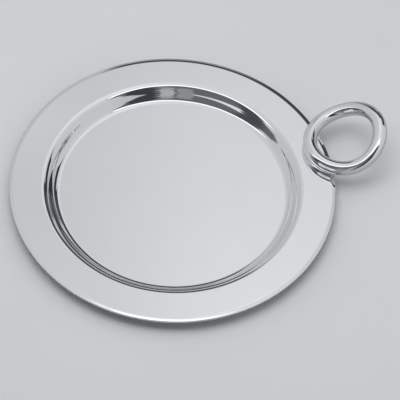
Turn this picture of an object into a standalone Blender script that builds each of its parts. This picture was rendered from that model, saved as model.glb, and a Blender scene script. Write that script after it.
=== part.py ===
"""A round polished plate with a shallow well, a turned-down edge and one ring handle.

Metres, +Z up. The origin is the centre of the underside that the plate rests on, and
the ring handle is towards +X. The dish is one pressed sheet. The handle is a closed ring
of round rod, bent so that its inner arc lies along the rim and its outer arc rises clear
of the plate, and it is soldered to the rim.
"""

import math

import bmesh
import bpy
from mathutils import Matrix, Vector

# The plate
OUTER_RADIUS = 0.080
SHEET = 0.0012  # thickness of the pressed sheet
WELL_DEPTH = 0.0064  # from the rim's top down to the floor's top
WALL_MID_RADIUS = 0.0599  # halfway up the wall of the well
WALL_SLOPE = math.radians(51.0)  # of the wall's straight part
WALL_ARC_RADIUS = 0.0044  # of the bends above and below it
EDGE_WIDTH = 0.0025  # the outermost part of the rim, which slopes down
EDGE_BEND_WIDTH = 0.0015  # the part of that width that the bend takes
EDGE_SLOPE = math.radians(16.5)

# The ring handle
ROD_RADIUS = 0.00345
RING_RADIUS = 0.0174  # of the rod's centre line
RING_OVAL = 0.0004  # longer by this towards the plate and away from it
RING_BEND = 0.0018  # how far the bend lifts and drops the centre line
RING_PITCH = math.radians(17.6)  # the outer arc is the high one
RING_CENTRE_X = 0.0890
RING_CENTRE_ABOVE_RIM = 0.0075

# The solder along both sides of the line where the ring lies on the rim
SOLDER_FROM = 0.0017  # across from the rod's centre line
SOLDER_TOP_TO = 0.0025
SOLDER_FOOT_TO = 0.0027
SOLDER_HALF_ARC = math.radians(38.0)  # either way from the ring's inmost point

GAP = 0.0003  # between neighbours that touch on the real plate

# Fineness of the faceted solids
PLATE_SEGMENTS = 96
WALL_ARC_STEPS = 6
EDGE_ARC_STEPS = 3
RING_SEGMENTS = 56
ROD_RESOLUTION = 6
SOLDER_STATIONS = 20
SOLDER_TOP_STEPS = 4

# Worked out from the sizes above
RIM_TOP = SHEET + WELL_DEPTH
WALL_BENDS_DEPTH = 2.0 * WALL_ARC_RADIUS * (1.0 - math.cos(WALL_SLOPE))
WALL_STRAIGHT_WIDTH = (WELL_DEPTH - WALL_BENDS_DEPTH) / math.tan(WALL_SLOPE)
WALL_WIDTH = 2.0 * WALL_ARC_RADIUS * math.sin(WALL_SLOPE) + WALL_STRAIGHT_WIDTH
EDGE_ARC_RADIUS = EDGE_BEND_WIDTH / math.sin(EDGE_SLOPE)


def clear_scene():
    """Removes every object that the file starts with."""
    for obj in list(bpy.data.objects):
        bpy.data.objects.remove(obj, do_unlink=True)


def metal(name, colour, roughness):
    """A polished metal: a Principled BSDF with its colour and roughness."""
    material = bpy.data.materials.new(name)
    material.use_nodes = True
    shader = material.node_tree.nodes["Principled BSDF"]
    shader.inputs["Base Color"].default_value = (*colour, 1.0)
    shader.inputs["Metallic"].default_value = 1.0
    shader.inputs["Roughness"].default_value = roughness
    return material


def add_object(name, data, material):
    """Puts the data in the scene as an object with one material."""
    data.materials.append(material)
    obj = bpy.data.objects.new(name, data)
    bpy.context.scene.collection.objects.link(obj)
    return obj


def mesh_object(name, builder, material):
    """Turns a finished bmesh into a smooth-shaded object."""
    bmesh.ops.recalc_face_normals(builder, faces=builder.faces)
    mesh = bpy.data.meshes.new(name)
    builder.to_mesh(mesh)
    builder.free()
    mesh.shade_smooth()
    mesh.set_sharp_from_angle(angle=math.radians(35.0))
    return add_object(name, mesh, material)


def turned(profile):
    """Spins a line of (radius, height) points once round the Z axis."""
    builder = bmesh.new()
    points = [builder.verts.new((radius, 0.0, height)) for radius, height in profile]
    edges = [builder.edges.new(pair) for pair in zip(points, points[1:])]
    bmesh.ops.spin(
        builder,
        geom=points + edges,
        cent=(0.0, 0.0, 0.0),
        axis=(0.0, 0.0, 1.0),
        angle=math.tau,
        steps=PLATE_SEGMENTS,
        use_merge=True,
    )
    return builder


def wall_line(offset):
    """The wall from the floor out to the rim: a bend, a straight slope and a bend.

    The offset is the depth below the sheet's top surface.
    """
    floor_arc = WALL_ARC_RADIUS + offset
    rim_arc = WALL_ARC_RADIUS - offset
    floor_centre = Vector((WALL_MID_RADIUS - WALL_WIDTH / 2, SHEET + WALL_ARC_RADIUS))
    rim_centre = Vector((WALL_MID_RADIUS + WALL_WIDTH / 2, RIM_TOP - WALL_ARC_RADIUS))
    turns = [WALL_SLOPE * step / WALL_ARC_STEPS for step in range(WALL_ARC_STEPS + 1)]
    line = []
    for turn in turns:
        direction = Vector((math.sin(turn), -math.cos(turn)))
        line.append(floor_centre + floor_arc * direction)
    for turn in reversed(turns):
        direction = Vector((-math.sin(turn), math.cos(turn)))
        line.append(rim_centre + rim_arc * direction)
    return line


def edge_line(offset):
    """The edge from the flat rim out to the cut, at a depth below the top surface.

    It is a bend and then a straight slope. The cut is upright, so every line ends at the
    same radius.
    """
    centre = Vector((OUTER_RADIUS - EDGE_WIDTH, RIM_TOP - EDGE_ARC_RADIUS))
    line = []
    for step in range(EDGE_ARC_STEPS + 1):
        turn = EDGE_SLOPE * step / EDGE_ARC_STEPS
        direction = Vector((math.sin(turn), math.cos(turn)))
        line.append(centre + (EDGE_ARC_RADIUS - offset) * direction)
    fall = (OUTER_RADIUS - line[-1].x) * math.tan(EDGE_SLOPE)
    line.append(Vector((OUTER_RADIUS, line[-1].y - fall)))
    return line


def make_dish(material):
    """The pressed sheet: flat floor, S-shaped wall, flat rim and turned-down edge."""
    profile = wall_line(0.0) + edge_line(0.0)
    profile.extend(reversed(wall_line(SHEET) + edge_line(SHEET)))
    builder = turned(profile)
    # The floor's top and underside are the two round openings that the spin leaves.
    bmesh.ops.holes_fill(builder, edges=builder.edges, sides=PLATE_SEGMENTS)
    return mesh_object("dish", builder, material)


def ring_line(angle):
    """A point on the handle's centre line, in the handle's own frame."""
    radius = RING_RADIUS + RING_OVAL * math.cos(2.0 * angle)
    bend = RING_BEND * math.cos(2.0 * angle)
    return Vector((radius * math.cos(angle), radius * math.sin(angle), bend))


def ring_placement():
    """Where the handle's own frame sits on the plate."""
    centre = Vector((RING_CENTRE_X, 0.0, RIM_TOP + RING_CENTRE_ABOVE_RIM))
    return Matrix.Translation(centre) @ Matrix.Rotation(-RING_PITCH, 4, "Y")


def make_ring_handle(material):
    """The bent ring of round rod, a closed curve with a round bevel."""
    curve = bpy.data.curves.new("ring_handle", "CURVE")
    curve.dimensions = "3D"
    curve.twist_mode = "Z_UP"
    curve.bevel_depth = ROD_RADIUS
    curve.bevel_resolution = ROD_RESOLUTION
    spline = curve.splines.new("POLY")
    spline.points.add(RING_SEGMENTS - 1)
    spline.use_cyclic_u = True
    spline.use_smooth = True
    for index, point in enumerate(spline.points):
        point.co = (*ring_line(math.tau * index / RING_SEGMENTS), 1.0)
    obj = add_object("ring_handle", curve, material)
    obj.matrix_world = ring_placement()
    return obj


def solder_section(angle, side):
    """One solder run's outline across the rod, at one place along the ring.

    The side is +1 for the run in the ring's hole and -1 for the run towards the well.
    """
    placement = ring_placement()
    centre = placement @ ring_line(angle)
    step = math.radians(1.0)
    along = placement @ ring_line(angle + step) - placement @ ring_line(angle - step)
    across = Vector((-along.y, along.x, 0.0)).normalized() * side
    foot = Vector((centre.x, centre.y, RIM_TOP + GAP))
    outline = [foot + across * SOLDER_FROM, foot + across * SOLDER_FOOT_TO]
    for index in range(SOLDER_TOP_STEPS + 1):
        part = index / SOLDER_TOP_STEPS
        reach = SOLDER_TOP_TO + (SOLDER_FROM - SOLDER_TOP_TO) * part
        drop = math.sqrt((ROD_RADIUS + GAP) ** 2 - reach**2)
        outline.append(centre + across * reach - Vector((0.0, 0.0, drop)))
    return outline


def make_ring_solder(name, side, material):
    """A solder run in the wedge between the rim and one side of the ring."""
    builder = bmesh.new()
    sections = []
    for index in range(SOLDER_STATIONS + 1):
        part = 2.0 * index / SOLDER_STATIONS - 1.0
        outline = solder_section(math.pi + part * SOLDER_HALF_ARC, side)
        sections.append([builder.verts.new(point) for point in outline])
    corners = len(sections[0])
    for here, there in zip(sections, sections[1:]):
        for corner in range(corners):
            after = (corner + 1) % corners
            builder.faces.new((here[corner], here[after], there[after], there[corner]))
    builder.faces.new(sections[0])
    builder.faces.new(sections[-1])
    return mesh_object(name, builder, material)


clear_scene()
make_dish(metal("dish_polish", (0.80, 0.81, 0.82), 0.05))
make_ring_handle(metal("ring_polish", (0.78, 0.80, 0.82), 0.06))
ring_solder = metal("ring_solder", (0.70, 0.71, 0.71), 0.22)
make_ring_solder("ring_solder_hole_side", 1, ring_solder)
make_ring_solder("ring_solder_well_side", -1, ring_solder)
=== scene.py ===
"""The looks of a mirror-polished plate with a turned-down edge and a bent ring handle.

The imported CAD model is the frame. Each piece that shows is rebuilt here with a fine,
smooth surface in the same place, and gets a procedural polished-metal material. The
stage is a pale floor under one soft light, inside a studio tent that only the metal
shows.
"""

import math

import bmesh
import bpy
from mathutils import Matrix, Vector


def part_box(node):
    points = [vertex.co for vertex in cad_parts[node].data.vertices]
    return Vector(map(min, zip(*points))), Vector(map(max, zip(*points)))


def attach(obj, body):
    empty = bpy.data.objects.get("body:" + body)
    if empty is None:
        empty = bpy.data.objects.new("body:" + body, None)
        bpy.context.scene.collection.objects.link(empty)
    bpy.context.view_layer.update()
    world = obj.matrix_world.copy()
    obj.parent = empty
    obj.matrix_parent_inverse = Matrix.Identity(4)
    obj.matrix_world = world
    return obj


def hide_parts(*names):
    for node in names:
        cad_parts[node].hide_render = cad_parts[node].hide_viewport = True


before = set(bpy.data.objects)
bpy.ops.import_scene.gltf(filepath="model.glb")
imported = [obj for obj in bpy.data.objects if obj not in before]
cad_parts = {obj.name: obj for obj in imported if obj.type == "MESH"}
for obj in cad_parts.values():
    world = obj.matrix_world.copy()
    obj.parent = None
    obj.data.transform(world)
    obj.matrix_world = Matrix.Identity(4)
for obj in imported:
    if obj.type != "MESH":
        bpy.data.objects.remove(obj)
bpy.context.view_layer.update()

# Sizes that the CAD boxes give, in metres
DISH_LOW, DISH_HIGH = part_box("dish")
OUTER_RADIUS = DISH_HIGH.x
RIM_TOP = DISH_HIGH.z

# The sheet, the well and the turned-down edge, as in the CAD design, but the wall bends
# more slowly on its way to a steeper middle
SHEET = 0.0012
WELL_DEPTH = RIM_TOP - SHEET
WALL_MID_RADIUS = 0.0599
BEND_RADIUS = 0.0044  # where the wall leaves the floor and meets the rim
BEND_SLOPE = math.radians(44.0)
WALL_SLOPE = math.radians(56.0)  # halfway up the wall
BEND_DEPTH = BEND_RADIUS * (1.0 - math.cos(BEND_SLOPE))
SLOW_RADIUS = (WELL_DEPTH / 2 - BEND_DEPTH) / (math.cos(BEND_SLOPE) - math.cos(WALL_SLOPE))
SLOW_WIDTH = SLOW_RADIUS * (math.sin(WALL_SLOPE) - math.sin(BEND_SLOPE))
WALL_WIDTH = 2.0 * (BEND_RADIUS * math.sin(BEND_SLOPE) + SLOW_WIDTH)
EDGE_BEND_WIDTH = 0.0015
EDGE_WIDTH = 0.0025
EDGE_SLOPE = math.radians(16.5)
EDGE_ARC_RADIUS = EDGE_BEND_WIDTH / math.sin(EDGE_SLOPE)
EDGE_CORNER = 0.0002

# The ring handle, as in the CAD design
ROD_RADIUS = 0.00345
RING_RADIUS = 0.0174
RING_OVAL = 0.0004
RING_BEND = 0.0018
RING_PITCH = math.radians(17.6)
RING_CENTRE = Vector((0.0890, 0.0, RIM_TOP + 0.0075))
SOLDER_HALF_ARC = math.radians(40.0)
SOLDER_ON_ROD = 0.0012
SOLDER_ON_RIM = 0.0018
SOLDER_TIP = 0.0004
SOLDER_IN_RIM = 0.0001  # how far the solder reaches into the rim
SOLDER_IN_ROD = 0.0003  # and into the rod

# Fineness of the visible meshes
PLATE_SEGMENTS = 360
WALL_ARC_STEPS = 24
EDGE_ARC_STEPS = 16
CORNER_STEPS = 6
RING_SEGMENTS = 240
ROD_SIDES = 64
SOLDER_STATIONS = 80
SOLDER_STEPS = 8

# The stage
FLOOR_RADIUS = 4.0
FLOOR_DROP = 0.0001
SOFT_LIGHT_PLACE = Vector((-0.15, 0.1, 1.4))
SOFT_LIGHT_SIZE = 1.1
SOFT_LIGHT_POWER = 5.0
TENT_RADIUS = 0.60
TENT_VIEWPOINT = (0.085, 0.030, 0.015)  # by the ring handle, in the picture's own frame
TENT_ROOM_DARK = 0.135
BACKDROP = (0.8, 0.81, 0.82, 1.0)

# The camera looks from the near side, with the ring handle at the upper right
VIEW_TURN = math.radians(-20.78)  # of the picture's own frame from the CAD's
VIEW_ELEVATION = math.radians(53.85)
VIEW_ROLL = math.radians(4.31)
VIEW_DISTANCE = 1.28
VIEW_LENS = 235.14
AIM_RIGHT = 0.013257
AIM_DOWN = 0.007447


# ---------------------------------------------------------------- mesh helpers


def finished(name, builder):
    """Turns a bmesh into a smooth-shaded object in the scene."""
    bmesh.ops.remove_doubles(builder, verts=builder.verts, dist=1e-7)
    bmesh.ops.recalc_face_normals(builder, faces=builder.faces)
    mesh = bpy.data.meshes.new(name)
    builder.to_mesh(mesh)
    builder.free()
    mesh.shade_smooth()
    obj = bpy.data.objects.new(name, mesh)
    bpy.context.scene.collection.objects.link(obj)
    return obj


def lathe(profile, closed):
    """Turns a profile of (radius, height) points once round the Z axis.

    A point at radius 0 becomes a single vertex.
    """
    builder = bmesh.new()
    rings = []
    for radius, height in profile:
        if radius == 0.0:
            rings.append([builder.verts.new((0.0, 0.0, height))] * PLATE_SEGMENTS)
            continue
        ring = []
        for index in range(PLATE_SEGMENTS):
            turn = math.tau * index / PLATE_SEGMENTS
            spot = (radius * math.cos(turn), radius * math.sin(turn), height)
            ring.append(builder.verts.new(spot))
        rings.append(ring)
    pairs = list(zip(rings, rings[1:]))
    if closed:
        pairs.append((rings[-1], rings[0]))
    for here, there in pairs:
        for index in range(PLATE_SEGMENTS):
            after = (index + 1) % PLATE_SEGMENTS
            corners = [here[index], here[after], there[after], there[index]]
            builder.faces.new(dict.fromkeys(corners))
    return builder


def arc(centre, radius, start, stop, steps):
    """Points of (radius, height) along an arc, from angle start to stop."""
    points = []
    for step in range(steps + 1):
        turn = start + (stop - start) * step / steps
        spot = (centre[0] + radius * math.cos(turn), centre[1] + radius * math.sin(turn))
        points.append(spot)
    return points


# ---------------------------------------------------------------- the pieces


def wall_line(offset):
    """The wall from the floor out to the rim, at a depth below the top surface.

    It is a bend, a slower bend to the steepest slope, and the same two turned over.
    """
    low = -math.pi / 2
    mid_height = SHEET + WELL_DEPTH / 2
    centre = (WALL_MID_RADIUS - WALL_WIDTH / 2, SHEET + BEND_RADIUS)
    line = arc(centre, BEND_RADIUS + offset, low, low + BEND_SLOPE, WALL_ARC_STEPS)
    across = SLOW_RADIUS * math.sin(WALL_SLOPE)
    over = SLOW_RADIUS * math.cos(WALL_SLOPE)
    centre = (WALL_MID_RADIUS - across, mid_height + over)
    slow = arc(centre, SLOW_RADIUS + offset, low + BEND_SLOPE, low + WALL_SLOPE, WALL_ARC_STEPS)
    line += slow[1:]
    high = math.pi / 2
    centre = (WALL_MID_RADIUS + across, mid_height - over)
    slow = arc(centre, SLOW_RADIUS - offset, high + WALL_SLOPE, high + BEND_SLOPE, WALL_ARC_STEPS)
    line += slow[1:]
    centre = (WALL_MID_RADIUS + WALL_WIDTH / 2, RIM_TOP - BEND_RADIUS)
    line += arc(centre, BEND_RADIUS - offset, high + BEND_SLOPE, high, WALL_ARC_STEPS)[1:]
    return line


def edge_line(offset, reach):
    """The edge from the flat rim out to a radius: a bend, then a straight slope."""
    centre = (OUTER_RADIUS - EDGE_WIDTH, RIM_TOP - EDGE_ARC_RADIUS)
    high = math.pi / 2
    bend = arc(centre, EDGE_ARC_RADIUS - offset, high, high - EDGE_SLOPE, EDGE_ARC_STEPS)
    radius, height = bend[-1]
    bend.append((reach, height - (reach - radius) * math.tan(EDGE_SLOPE)))
    return bend


def make_dish():
    """Flat floor, S-shaped wall, flat rim and turned-down edge with a soft corner."""
    floor_end = WALL_MID_RADIUS - WALL_WIDTH / 2
    rim_start = WALL_MID_RADIUS + WALL_WIDTH / 2
    rim_end = OUTER_RADIUS - EDGE_WIDTH
    # Circles on the flat parts, closer together towards the bends
    floor_radii = [0.0, 0.010, 0.020, 0.030, 0.040, 0.050, floor_end - 0.0012, floor_end - 0.0003]
    rim_radii = [rim_start + 0.0003, rim_start + 0.0012, 0.068, 0.072, 0.0755, rim_end - 0.0003]
    top_edge = edge_line(0.0, OUTER_RADIUS - EDGE_CORNER)
    low_edge = edge_line(SHEET, OUTER_RADIUS - EDGE_CORNER)
    profile = [(radius, SHEET) for radius in floor_radii]
    profile += wall_line(0.0)
    profile += [(radius, RIM_TOP) for radius in rim_radii]
    profile += top_edge
    corner = (OUTER_RADIUS - EDGE_CORNER, top_edge[-1][1] - EDGE_CORNER)
    profile += arc(corner, EDGE_CORNER, math.pi / 2 - EDGE_SLOPE, 0.0, CORNER_STEPS)[1:]
    corner = (OUTER_RADIUS - EDGE_CORNER, low_edge[-1][1] + EDGE_CORNER)
    profile += arc(corner, EDGE_CORNER, 0.0, -math.pi / 2, CORNER_STEPS)
    profile += list(reversed(low_edge))[1:]
    profile += [(radius, RIM_TOP - SHEET) for radius in reversed(rim_radii)]
    profile += list(reversed(wall_line(SHEET)))
    profile += [(radius, 0.0) for radius in reversed(floor_radii)]
    return finished("polished_dish", lathe(profile, closed=False))


def ring_line(angle):
    """A point on the handle's centre line, in the plate's frame."""
    radius = RING_RADIUS + RING_OVAL * math.cos(2.0 * angle)
    bend = RING_BEND * math.cos(2.0 * angle)
    local = Vector((radius * math.cos(angle), radius * math.sin(angle), bend))
    return RING_CENTRE + Matrix.Rotation(-RING_PITCH, 3, "Y") @ local


def ring_frame(angle):
    """(centre, along, across, over) at an angle round the handle."""
    step = math.radians(0.5)
    along = (ring_line(angle + step) - ring_line(angle - step)).normalized()
    across = along.cross(Vector((0.0, 0.0, 1.0))).normalized()
    over = across.cross(along)
    return ring_line(angle), along, across, over


def make_ring_handle():
    """The bent ring of round rod."""
    builder = bmesh.new()
    sections = []
    for index in range(RING_SEGMENTS):
        centre, _, across, over = ring_frame(math.tau * index / RING_SEGMENTS)
        section = []
        for side in range(ROD_SIDES):
            turn = math.tau * side / ROD_SIDES
            spoke = across * math.cos(turn) + over * math.sin(turn)
            section.append(builder.verts.new(centre + spoke * ROD_RADIUS))
        sections.append(section)
    for index, here in enumerate(sections):
        there = sections[(index + 1) % RING_SEGMENTS]
        for side in range(ROD_SIDES):
            after = (side + 1) % ROD_SIDES
            builder.faces.new((here[side], here[after], there[after], there[side]))
    return finished("polished_ring", builder)


def make_ring_solder(name, side):
    """A small concave run of solder in the corner between the ring and the rim."""
    builder = bmesh.new()
    sections = []
    for index in range(SOLDER_STATIONS + 1):
        part = 2.0 * index / SOLDER_STATIONS - 1.0
        centre, along, _, _ = ring_frame(math.pi + part * SOLDER_HALF_ARC)
        across = Vector((-along.y, along.x, 0.0)).normalized() * side
        run_out = math.sqrt(max(0.0, 1.0 - abs(part) ** 6))
        on_rod = SOLDER_TIP + (SOLDER_ON_ROD - SOLDER_TIP) * run_out
        on_rim = on_rod + (SOLDER_ON_RIM - SOLDER_ON_ROD) * (0.2 + 0.8 * run_out)
        rod_foot = centre.z - math.sqrt(ROD_RADIUS**2 - on_rod**2)
        foot = Vector((centre.x, centre.y, RIM_TOP))
        sink = Vector((0.0, 0.0, SOLDER_IN_RIM))
        outline = [foot - sink, foot + across * on_rim - sink]
        for step in range(SOLDER_STEPS + 1):
            blend = step / SOLDER_STEPS
            reach = on_rim + (on_rod - on_rim) * blend
            height = (rod_foot - RIM_TOP) * blend**2
            outline.append(foot + across * reach + Vector((0.0, 0.0, height)))
        outline.append(centre - Vector((0.0, 0.0, ROD_RADIUS - SOLDER_IN_ROD)))
        sections.append([builder.verts.new(point) for point in outline])
    corners = len(sections[0])
    for here, there in zip(sections, sections[1:]):
        for corner in range(corners):
            after = (corner + 1) % corners
            builder.faces.new((here[corner], here[after], there[after], there[corner]))
    builder.faces.new(sections[0])
    builder.faces.new(sections[-1])
    obj = finished(name, builder)
    obj.data.set_sharp_from_angle(angle=math.radians(50.0))
    return obj


# ---------------------------------------------------------------- node helpers


class Nodes:
    """Short calls for building a shader node tree."""

    def __init__(self, tree):
        self.tree = tree

    def add(self, kind, **settings):
        node = self.tree.nodes.new(kind)
        for name, value in settings.items():
            setattr(node, name, value)
        return node

    def feed(self, socket, value):
        if isinstance(value, bpy.types.NodeSocket):
            self.tree.links.new(value, socket)
        else:
            socket.default_value = value

    def math(self, operation, *values, clamp=False):
        node = self.add("ShaderNodeMath", operation=operation, use_clamp=clamp)
        for socket, value in zip(node.inputs, values):
            self.feed(socket, value)
        return node.outputs[0]

    def ramp(self, value, low, high, start=0.0, stop=1.0):
        """A smooth step of the value between low and high, from start to stop."""
        node = self.add("ShaderNodeMapRange", interpolation_type="SMOOTHSTEP")
        for socket, number in zip(node.inputs, (value, low, high, start, stop)):
            self.feed(socket, number)
        return node.outputs[0]

    def band(self, value, low, high, soft, soft_high=None):
        """1 between low and high, 0 outside, with soft sides."""
        soft_high = soft if soft_high is None else soft_high
        rise = self.ramp(value, low - soft / 2, low + soft / 2)
        fall = self.ramp(value, high - soft_high / 2, high + soft_high / 2, 1.0, 0.0)
        return self.math("MULTIPLY", rise, fall)

    def blend(self, base, value, share):
        """The base taken towards the value by the share."""
        node = self.add("ShaderNodeMix", data_type="FLOAT")
        for socket, number in zip(node.inputs[:4], (share, None, base, value)):
            if number is not None:
                self.feed(socket, number)
        return node.outputs[0]

    def times(self, *values):
        total = values[0]
        for value in values[1:]:
            total = self.math("MULTIPLY", total, value)
        return total

    def noise(self, vector, scale, detail=2.0, roughness=0.5):
        node = self.add("ShaderNodeTexNoise")
        self.feed(node.inputs["Vector"], vector)
        node.inputs["Scale"].default_value = scale
        node.inputs["Detail"].default_value = detail
        node.inputs["Roughness"].default_value = roughness
        return node.outputs["Fac"]


# ---------------------------------------------------------------- materials


def round_coordinates(nodes):
    """(radius from the plate's axis, seamless coordinates along the circles round it)."""
    spot = nodes.add("ShaderNodeTexCoord").outputs["Object"]
    split = nodes.add("ShaderNodeSeparateXYZ")
    nodes.feed(split.inputs[0], spot)
    across, along, _ = split.outputs
    radius = nodes.math("SQRT", nodes.math("ADD", nodes.times(across, across), nodes.times(along, along)))
    safe = nodes.math("MAXIMUM", radius, 0.0001)
    return radius, nodes.math("DIVIDE", across, safe), nodes.math("DIVIDE", along, safe)


def circling(nodes, radius, east, north, across_scale, along_scale):
    """Noise drawn out along the circles round the plate's axis."""
    vector = nodes.add("ShaderNodeCombineXYZ")
    nodes.feed(vector.inputs[0], nodes.times(radius, across_scale))
    nodes.feed(vector.inputs[1], nodes.times(east, along_scale))
    nodes.feed(vector.inputs[2], nodes.times(north, along_scale))
    return nodes.noise(vector.outputs[0], 1.0, detail=3.0, roughness=0.6)


def metal_shader(name, colour):
    """A new metal material and the short calls for its node tree."""
    material = bpy.data.materials.new(name)
    material.use_nodes = True
    shader = material.node_tree.nodes["Principled BSDF"]
    shader.inputs["Metallic"].default_value = 1.0
    nodes = Nodes(material.node_tree)
    spot = nodes.add("ShaderNodeTexCoord").outputs["Object"]
    stain = nodes.noise(spot, 45.0, detail=4.0)
    tint = nodes.add("ShaderNodeCombineColor")
    for socket, share in zip(tint.inputs, colour):
        nodes.feed(socket, nodes.ramp(stain, 0.3, 0.75, share, share * 0.985))
    nodes.feed(shader.inputs["Base Color"], tint.outputs[0])
    return material, nodes, shader, spot


def bumped(nodes, shader, *heights):
    """Feeds heights, each a (value, metres) pair, to the shader as one chain of bumps."""
    normal = None
    for value, metres in heights:
        bump = nodes.add("ShaderNodeBump")
        bump.inputs["Distance"].default_value = metres
        nodes.feed(bump.inputs["Height"], value)
        if normal is not None:
            nodes.feed(bump.inputs["Normal"], normal)
        normal = bump.outputs[0]
    nodes.feed(shader.inputs["Normal"], normal)


def dish_metal():
    """Mirror polish with hairlines round the plate, haze, specks and a faintly rippled wall."""
    material, nodes, shader, spot = metal_shader("dish_mirror", (0.925, 0.93, 0.935))
    radius, east, north = round_coordinates(nodes)
    hairlines = circling(nodes, radius, east, north, 9000.0, 14.0)
    ripples = circling(nodes, radius, east, north, 520.0, 5.0)
    haze = nodes.noise(spot, 28.0, detail=5.0)
    specks = nodes.ramp(nodes.noise(spot, 900.0, detail=1.0), 0.70, 0.74)
    rough = nodes.ramp(haze, 0.35, 0.75, 0.018, 0.045)
    rough = nodes.math("ADD", rough, nodes.times(hairlines, 0.012))
    rough = nodes.math("ADD", rough, nodes.times(specks, 0.02))
    nodes.feed(shader.inputs["Roughness"], rough)
    on_wall = nodes.band(radius, 0.0563, 0.0632, 0.0012)
    bumped(nodes, shader, (nodes.times(ripples, on_wall), 0.0000007), (hairlines, 0.0000001))
    return material


def ring_metal():
    """Mirror polish with a faint haze, slight waves and a very fine grain."""
    material, nodes, shader, spot = metal_shader("ring_mirror", (0.92, 0.93, 0.94))
    haze = nodes.noise(spot, 60.0, detail=4.0)
    grain = nodes.noise(spot, 2600.0, detail=2.0)
    waves = nodes.noise(spot, 190.0, detail=1.0)
    rough = nodes.ramp(haze, 0.35, 0.75, 0.03, 0.07)
    nodes.feed(shader.inputs["Roughness"], nodes.math("ADD", rough, nodes.times(grain, 0.02)))
    bumped(nodes, shader, (waves, 0.00008), (grain, 0.0000003))
    return material


def solder_metal():
    """Silver solder as it ran: soft, a little lumpy and duller than the plate."""
    material, nodes, shader, spot = metal_shader("solder_silver", (0.86, 0.865, 0.87))
    lumps = nodes.noise(spot, 420.0, detail=3.0)
    rough = nodes.ramp(nodes.noise(spot, 700.0, detail=3.0), 0.3, 0.7, 0.14, 0.28)
    nodes.feed(shader.inputs["Roughness"], rough)
    bumped(nodes, shader, (lumps, 0.00012))
    return material


# ---------------------------------------------------------------- stage


def make_floor():
    """A plain pale table top whose colour varies a little, with painted shade: it is darker where the
    metal reflects it.
    """
    builder = bmesh.new()
    bmesh.ops.create_circle(builder, cap_ends=True, segments=128, radius=FLOOR_RADIUS)
    obj = finished("floor", builder)
    obj.location.z = -FLOOR_DROP
    material = bpy.data.materials.new("floor")
    material.use_nodes = True
    shader = material.node_tree.nodes["Principled BSDF"]
    nodes = Nodes(material.node_tree)
    spot = nodes.add("ShaderNodeTexCoord").outputs["Object"]
    pale = nodes.ramp(nodes.noise(spot, 6.0), 0.3, 0.7, 0.86, 0.885)
    # Painted shade: for rays from the metal the table's colour drops to 0.56, so its reflection looks
    # darker.
    painted_shade_mask = nodes.add("ShaderNodeLightPath").outputs["Is Glossy Ray"]
    colour_with_painted_shade = nodes.blend(pale, 0.56, painted_shade_mask)
    tint = nodes.add("ShaderNodeCombineColor")
    for socket, share in zip(tint.inputs, (1.0, 1.0, 0.995)):
        nodes.feed(socket, nodes.times(colour_with_painted_shade, share))
    nodes.feed(shader.inputs["Base Color"], tint.outputs[0])
    shader.inputs["Roughness"].default_value = 0.85
    grain = nodes.noise(spot, 1500.0, detail=2.0)
    bumped(nodes, shader, (grain, 0.00003))
    obj.data.materials.append(material)
    return obj


def make_soft_light():
    """A wide soft light over the table, which the metal doesn't show."""
    data = bpy.data.lights.new("soft_light", "AREA")
    data.shape = "DISK"
    data.size = SOFT_LIGHT_SIZE
    data.energy = SOFT_LIGHT_POWER
    light = bpy.data.objects.new("soft_light", data)
    light.location = SOFT_LIGHT_PLACE
    light.rotation_euler = SOFT_LIGHT_PLACE.to_track_quat("Z", "Y").to_euler()
    light.visible_glossy = False
    light.visible_camera = False
    bpy.context.scene.collection.objects.link(light)


def make_camera():
    """Looks down at the plate from the near side, a little rolled."""
    turn = Matrix.Rotation(VIEW_TURN, 3, "Z")
    back = turn @ Vector((0.0, -math.cos(VIEW_ELEVATION), math.sin(VIEW_ELEVATION)))
    level = turn @ Vector((1.0, 0.0, 0.0))
    roll = Matrix.Rotation(VIEW_ROLL, 3, back)
    right = roll @ level
    up = back.cross(right)
    aim = Vector((0.0, 0.0, RIM_TOP)) + right * AIM_RIGHT - up * AIM_DOWN
    data = bpy.data.cameras.new("camera")
    data.lens = VIEW_LENS
    data.clip_start = 0.01
    camera = bpy.data.objects.new("camera", data)
    pose = Matrix((right, up, back)).transposed().to_4x4()
    pose.translation = aim + back * VIEW_DISTANCE
    camera.matrix_world = pose
    bpy.context.scene.collection.objects.link(camera)
    bpy.context.scene.camera = camera


def tent_directions(nodes, spot):
    """Where a spot on the tent lies as seen from the viewpoint, in the picture's own frame.

    Gives its azimuth and its rise in degrees, where azimuth 0 is to the right, 90 is away
    from the camera and -90 is towards it, and then how far to the right and away it lies
    over a flat ceiling of height 1.
    """
    turn = nodes.add("ShaderNodeVectorRotate", rotation_type="Z_AXIS")
    nodes.feed(turn.inputs["Vector"], spot)
    turn.inputs["Angle"].default_value = -VIEW_TURN
    shift = nodes.add("ShaderNodeVectorMath", operation="SUBTRACT")
    nodes.feed(shift.inputs[0], turn.outputs[0])
    shift.inputs[1].default_value = TENT_VIEWPOINT
    unit = nodes.add("ShaderNodeVectorMath", operation="NORMALIZE")
    nodes.feed(unit.inputs[0], shift.outputs[0])
    split = nodes.add("ShaderNodeSeparateXYZ")
    nodes.feed(split.inputs[0], unit.outputs[0])
    right, away, up = split.outputs
    degrees = math.degrees(1.0)
    azimuth = nodes.times(nodes.math("ARCTAN2", away, right), degrees)
    rise = nodes.times(nodes.math("ARCSINE", up), degrees)
    ceiling = nodes.math("MAXIMUM", up, 0.02)
    over_right = nodes.math("DIVIDE", right, ceiling)
    over_away = nodes.math("DIVIDE", away, ceiling)
    return azimuth, rise, over_right, over_away


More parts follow.
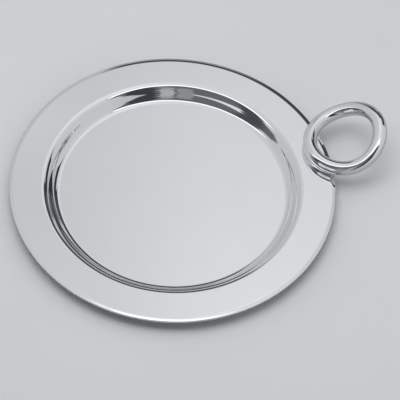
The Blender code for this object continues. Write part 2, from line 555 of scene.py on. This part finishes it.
def tent_cloth(nodes, azimuth, rise):
    """The pale cloth, brighter overhead, with four soft glows."""
    low = nodes.ramp(rise, 40.0, 60.0, 1.0, 0.0)
    beyond = nodes.times(nodes.band(azimuth, 58.0, 111.0, 28.0), nodes.band(rise, 42.0, 84.0, 14.0))
    beside = nodes.times(nodes.band(azimuth, 116.0, 142.0, 10.0), nodes.band(rise, 36.0, 50.0, 6.0))
    right = nodes.times(nodes.band(azimuth, -50.0, 38.0, 24.0), low)
    left = nodes.times(nodes.ramp(nodes.math("ABSOLUTE", azimuth), 135.0, 160.0), low)
    light = nodes.ramp(rise, 30.0, 86.0, 0.505, 0.745)
    for glow, gain in ((beyond, 0.115), (beside, 0.06), (right, 0.08), (left, 0.05)):
        light = nodes.math("ADD", light, nodes.times(glow, gain))
    return light


def tent_gap(nodes, light, azimuth, rise):
    """The light with the dark gap in the tent beyond the plate and its arm to the right."""
    tilt = nodes.times(nodes.math("SUBTRACT", 90.0, azimuth), 0.13)
    slant = nodes.times(nodes.math("MAXIMUM", nodes.math("SUBTRACT", rise, 26.0), 0.0), 0.8)
    gap = nodes.times(
        nodes.ramp(nodes.math("SUBTRACT", azimuth, slant), 49.5, 52.5),
        nodes.ramp(azimuth, 110.0, 115.0, 1.0, 0.0),
        nodes.ramp(rise, 14.5, 21.0),
        nodes.ramp(nodes.math("SUBTRACT", rise, tilt), 42.0, 45.0, 1.0, 0.0),
    )
    sloped = nodes.math("ADD", rise, nodes.times(azimuth, 0.72))
    start = nodes.math("SUBTRACT", azimuth, nodes.times(rise, 0.16))
    arm = nodes.times(
        nodes.band(sloped, 37.0, 73.0, 3.0),
        nodes.ramp(start, 29.0, 30.5),
        nodes.ramp(azimuth, 58.0, 62.0, 1.0, 0.0),
    )
    under = nodes.ramp(rise, 15.0, 21.0, 1.0, 0.0)
    under_arm = nodes.times(nodes.band(azimuth, 54.0, 68.0, 4.0), under)
    under_gap = nodes.times(nodes.band(azimuth, 76.0, 108.0, 6.0), under)
    for shade, share in ((0.058, gap), (0.035, arm), (0.14, under_arm), (0.26, under_gap)):
        light = nodes.blend(light, shade, share)
    return light


def tent_room(nodes, light, azimuth, rise):
    """The light with the dark room round the camera, its darker ends and its paler panes.

    The room's edges sway a little from side to side as they rise.
    """
    streak = nodes.add("ShaderNodeTexNoise", noise_dimensions="1D")
    nodes.feed(streak.inputs["W"], rise)
    streak.inputs["Scale"].default_value = 0.11
    sway = nodes.times(nodes.math("SUBTRACT", streak.outputs["Fac"], 0.5), 18.0)
    azimuth = nodes.math("ADD", azimuth, sway)
    lean = nodes.math("SUBTRACT", azimuth, nodes.math("SUBTRACT", rise, 40.0))
    foot = nodes.ramp(rise, 8.0, 22.0, 9.0, 0.0)
    room = nodes.times(
        nodes.ramp(nodes.math("ADD", azimuth, foot), -167.0, -163.0),
        nodes.ramp(lean, -49.0, -45.0, 1.0, 0.0),
        nodes.ramp(rise, 67.0, 70.0, 1.0, 0.0),
    )
    left_end = nodes.band(azimuth, -162.0, -146.0, 8.0)
    right_end = nodes.band(azimuth, -80.0, -54.0, 4.0)
    dull = nodes.times(nodes.band(azimuth, -110.0, -97.5, 2.0), nodes.band(rise, 0.0, 42.0, 8.0))
    pale = nodes.times(nodes.band(azimuth, -95.0, -84.0, 1.5), nodes.ramp(rise, 25.0, 60.0, 1.0, 0.2))
    sill = nodes.times(nodes.band(azimuth, -143.0, -108.0, 3.0), nodes.ramp(rise, 16.5, 18.5, 1.0, 0.0))
    wall = TENT_ROOM_DARK
    for shade, share in ((0.07, left_end), (0.05, right_end), (0.28, dull), (0.42, pale), (0.75, sill)):
        wall = nodes.blend(wall, shade, share)
    return nodes.blend(light, wall, room)


def tent_lamp(nodes, light, over_right, over_away):
    """The light with the long lamp overhead."""
    end = nodes.math("ADD", over_right, nodes.times(over_away, 1.2))
    lamp = nodes.times(
        nodes.band(over_away, -0.35, -0.10, 0.04, 0.10),
        nodes.ramp(over_right, -2.0, -1.2),
        nodes.ramp(end, 0.16, 0.20, 1.0, 0.0),
    )
    return nodes.blend(light, 1.2, lamp)


def make_tent():
    """The studio tent round the plate, lit for the metal; the camera looks through it."""
    builder = bmesh.new()
    bmesh.ops.create_uvsphere(builder, u_segments=96, v_segments=48, radius=TENT_RADIUS)
    tent = finished("tent", builder)
    tent.visible_camera = False
    tent.visible_shadow = False
    material = bpy.data.materials.new("tent")
    material.use_nodes = True
    material.cycles.emission_sampling = "NONE"
    tree = material.node_tree
    tree.nodes.clear()
    nodes = Nodes(tree)
    spot = nodes.add("ShaderNodeNewGeometry").outputs["Position"]
    azimuth, rise, over_right, over_away = tent_directions(nodes, spot)
    light = tent_cloth(nodes, azimuth, rise)
    light = tent_gap(nodes, light, azimuth, rise)
    light = tent_room(nodes, light, azimuth, rise)
    light = tent_lamp(nodes, light, over_right, over_away)
    tint = nodes.add("ShaderNodeCombineColor")
    for socket, share, lift in zip(tint.inputs, (0.99, 1.0, 1.012), (-0.006, 0.0, 0.009)):
        nodes.feed(socket, nodes.math("ADD", nodes.times(light, share), lift))
    glow = nodes.add("ShaderNodeEmission")
    nodes.feed(glow.inputs["Color"], tint.outputs[0])
    out = nodes.add("ShaderNodeOutputMaterial")
    nodes.feed(out.inputs["Surface"], glow.outputs[0])
    tent.data.materials.append(material)


def make_world():
    """A plain pale backdrop."""
    world = bpy.data.worlds.new("studio")
    bpy.context.scene.world = world
    world.use_nodes = True
    world.node_tree.nodes["Background"].inputs["Color"].default_value = BACKDROP


dish_mirror = dish_metal()
ring_mirror = ring_metal()
solder_silver = solder_metal()
hole_side = make_ring_solder("solder_hole_side", 1)
well_side = make_ring_solder("solder_well_side", -1)
for piece, node, material, slot in (
    (make_dish(), "dish", dish_mirror, "dish_polish"),
    (make_ring_handle(), "ring_handle", ring_mirror, "ring_polish"),
    (hole_side, "ring_solder_hole_side", solder_silver, "ring_solder"),
    (well_side, "ring_solder_well_side", solder_silver, "ring_solder"),
):
    piece.data.materials.append(material)
    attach(piece, "root")
    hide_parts(node)
make_floor()
make_soft_light()
make_tent()
make_world()
make_camera()
bpy.context.scene.view_settings.view_transform = "Standard"
